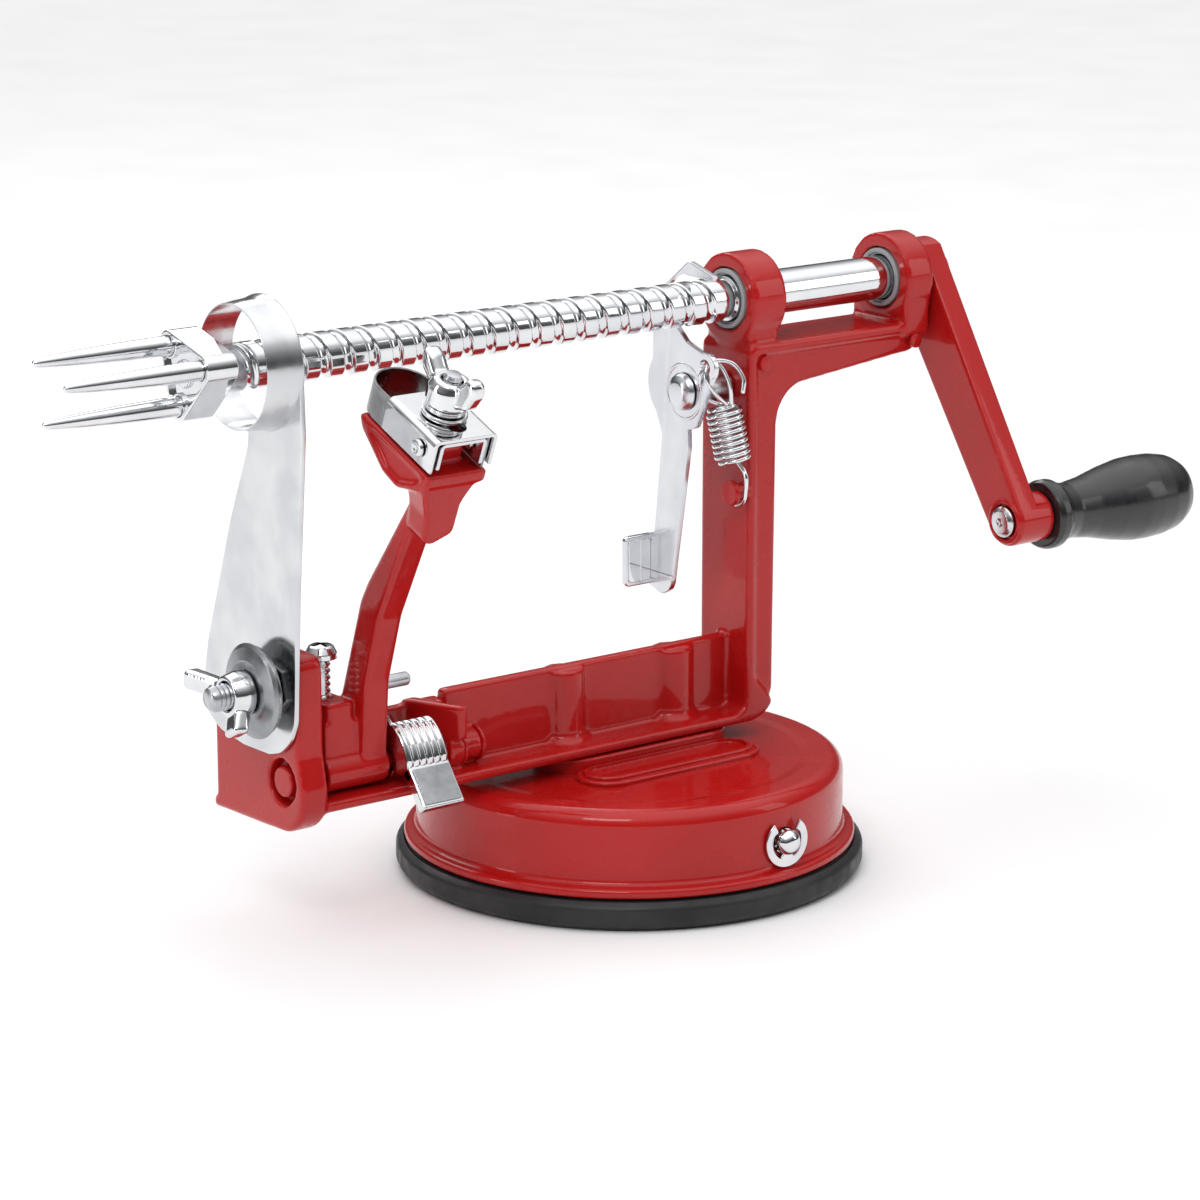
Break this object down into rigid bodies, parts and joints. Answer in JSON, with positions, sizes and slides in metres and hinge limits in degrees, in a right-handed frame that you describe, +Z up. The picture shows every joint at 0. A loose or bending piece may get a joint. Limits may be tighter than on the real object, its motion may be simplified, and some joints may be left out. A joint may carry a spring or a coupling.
{
  "type": "apple peeler corer",
  "caption": "Hand-cranked fruit peeler with a threaded feed shaft and fork, a sprung peeling arm, a ring corer and slicer blade, and a cast frame on a suction base.",
  "frame": {"origin": "centre of the suction base's underside, where it rests on the counter", "axes": "+X along the feed shaft from the fork to the crank, -Y towards the peeling arm's head and the spring, +Z up"},
  "size_m": [0.2825, 0.1117, 0.1393],
  "materials": {
    "red_enamel": "glossy deep red enamel over a casting",
    "chrome": "bright chrome plating",
    "polished_steel": "polished stainless sheet",
    "zinc_steel": "bright zinc plating",
    "dark_steel": "dark hardened strip",
    "grey_nylon": "satin grey bearing plastic",
    "black_rubber": "matt black rubber",
    "black_gloss": "gloss black moulded plastic"
  },
  "bodies": {
    "base": {"suction_pad": "black_rubber", "base_dome": "red_enamel", "frame_screw_1": "zinc_steel", "frame_screw_2": "zinc_steel", "frame": "red_enamel", "lever_rivet": "polished_steel", "lever_spacer": "zinc_steel", "lever_spring": "chrome", "arm_hinge_pin": "red_enamel", "arm_torsion_spring": "zinc_steel", "blade_bolt": "zinc_steel", "clamp_nut": "zinc_steel", "back_washer": "dark_steel", "front_washer": "zinc_steel"},
    "bushes": {"front_bush": "grey_nylon", "rear_bush": "grey_nylon"},
    "shaft": {"threaded_shaft": "chrome", "fork_hub": "chrome", "fork_prong_1": "chrome", "fork_prong_2": "chrome", "fork_prong_3": "chrome", "crank_arm": "red_enamel", "crank_screw": "zinc_steel", "knob_spindle": "zinc_steel"},
    "knob": {"crank_knob": "black_gloss"},
    "lever": {"release_lever": "chrome"},
    "arm": {"peeler_arm": "red_enamel", "latch_pin": "zinc_steel", "clamp_bolt": "zinc_steel", "flat_washer": "zinc_steel", "spring_washer": "zinc_steel"},
    "stop": {"stop_screw": "chrome"},
    "blade_head": {"blade_bracket": "chrome", "blade_carrier": "chrome", "peeler_blade": "dark_steel", "blade_rivet_1": "polished_steel", "blade_rivet_2": "polished_steel"},
    "head_nut": {"peeler_wing_nut": "chrome"},
    "latch": {"arm_latch": "chrome"},
    "slicer": {"slicer_corer_blade": "polished_steel"},
    "slicer_nut": {"blade_wing_nut": "chrome"},
    "axle": {"cam_axle": "chrome", "axle_clip": "chrome", "lift_cam_near": "zinc_steel", "lift_cam_far": "zinc_steel", "suction_lever": "chrome"},
    "lift": {"lift_plate": "zinc_steel"}
  },
  "joints": [
    {"name": "crank_spin", "type": "hinge", "parent": "base", "child": "bushes", "pos_m": [0.027, 0, 0.125], "axis": [1, 0, 0], "range_deg": [0, 6720]},
    {"name": "shaft_feed", "type": "slide", "parent": "bushes", "child": "shaft", "axis": [1, 0, 0], "range_m": [0, 0.112]},
    {"name": "knob_spin", "type": "hinge", "parent": "shaft", "child": "knob", "pos_m": [0.0918, -0.03389, 0.07261], "axis": [1, 0, 0], "continuous": true},
    {"name": "lever_release", "type": "hinge", "parent": "base", "child": "lever", "pos_m": [0.0152, 0, 0.1054], "axis": [1, 0, 0], "range_deg": [-8, 0], "stiffness_Nm_per_rad": 0.06, "springref_deg": 34.38, "deforming": ["lever_spring"]},
    {"name": "arm_swing", "type": "hinge", "parent": "base", "child": "arm", "pos_m": [-0.076, -0.0021, 0.0357], "axis": [1, 0, 0], "range_deg": [0, 40], "stiffness_Nm_per_rad": 0.2, "springref_deg": -34.38, "deforming": ["arm_torsion_spring"]},
    {"name": "stop_screw_turn", "type": "hinge", "parent": "arm", "child": "stop", "pos_m": [-0.0802, 0.0031, 0.051], "axis": [0, 0, 1], "range_deg": [-180, 180]},
    {"name": "head_slide", "type": "slide", "parent": "arm", "child": "blade_head", "axis": [0, 0.9239, 0.3827], "range_m": [-0.003, 0]},
    {"name": "head_nut_turn", "type": "hinge", "parent": "arm", "child": "head_nut", "pos_m": [-0.0724, -0.03148, 0.11654], "axis": [0, -0.3827, 0.9239], "continuous": true},
    {"name": "latch_swing", "type": "hinge", "parent": "base", "child": "latch", "pos_m": [-0.0684, -0.0021, 0.0357], "axis": [1, 0, 0], "range_deg": [-12, 12]},
    {"name": "slicer_align", "type": "hinge", "parent": "base", "child": "slicer", "pos_m": [-0.0955, 0, 0.056], "axis": [1, 0, 0], "range_deg": [-1.5, 1.5]},
    {"name": "slicer_nut_turn", "type": "hinge", "parent": "base", "child": "slicer_nut", "pos_m": [-0.1013, 0, 0.056], "axis": [1, 0, 0], "continuous": true},
    {"name": "suction_lever_swing", "type": "hinge", "parent": "base", "child": "axle", "pos_m": [0.0054, 0, 0.0151], "axis": [0, 1, 0], "range_deg": [-170, 0]},
    {"name": "pad_lift", "type": "slide", "parent": "base", "child": "lift", "axis": [0, 0, 1], "range_m": [0, 0.0018]}
  ],
  "couplings": [
    {"joint": "shaft_feed", "follows": "crank_spin", "m_per_rad": 0.00095493},
    {"joint": "pad_lift", "follows": "suction_lever_swing", "m_per_rad": -0.00060666}
  ]
}
